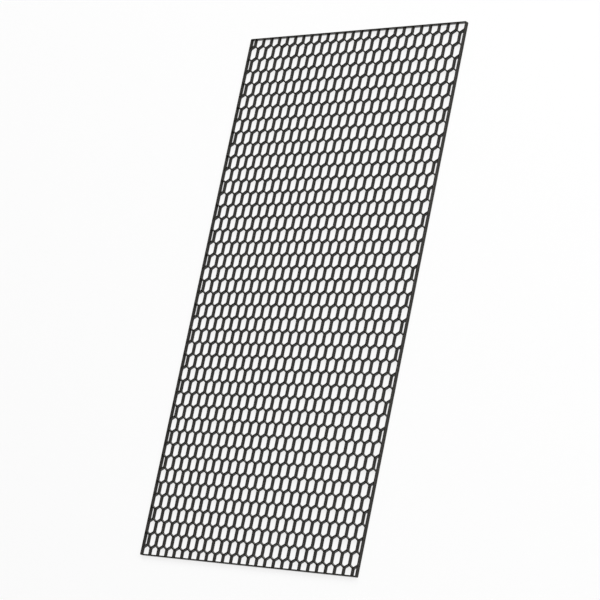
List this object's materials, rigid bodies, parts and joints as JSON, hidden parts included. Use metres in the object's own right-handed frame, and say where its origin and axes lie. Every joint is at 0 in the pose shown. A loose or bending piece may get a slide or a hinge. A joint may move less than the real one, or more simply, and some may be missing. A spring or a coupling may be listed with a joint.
{
  "type": "car grille mesh sheet",
  "caption": "Flat black plastic grille mesh sheet: thin, deep ribs round long hexagonal openings, offset row by row, inside a plain thin border; trimmed to size to fill a vehicle's air inlet.",
  "frame": {"origin": "centre of the back face, which lies on the floor", "axes": "+Y along the sheet's length, towards the end that the picture shows on top; +X across it, to the picture's right; +Z out of the front face"},
  "size_m": [0.4, 0.75, 0.005],
  "materials": {
    "mesh_plastic": "satin black moulded plastic"
  },
  "bodies": {
    "root": {"mesh_section_1": "mesh_plastic", "mesh_section_2": "mesh_plastic", "mesh_section_3": "mesh_plastic", "mesh_section_4": "mesh_plastic", "mesh_section_5": "mesh_plastic", "mesh_section_6": "mesh_plastic", "mesh_section_7": "mesh_plastic"}
  },
  "joints": []
}
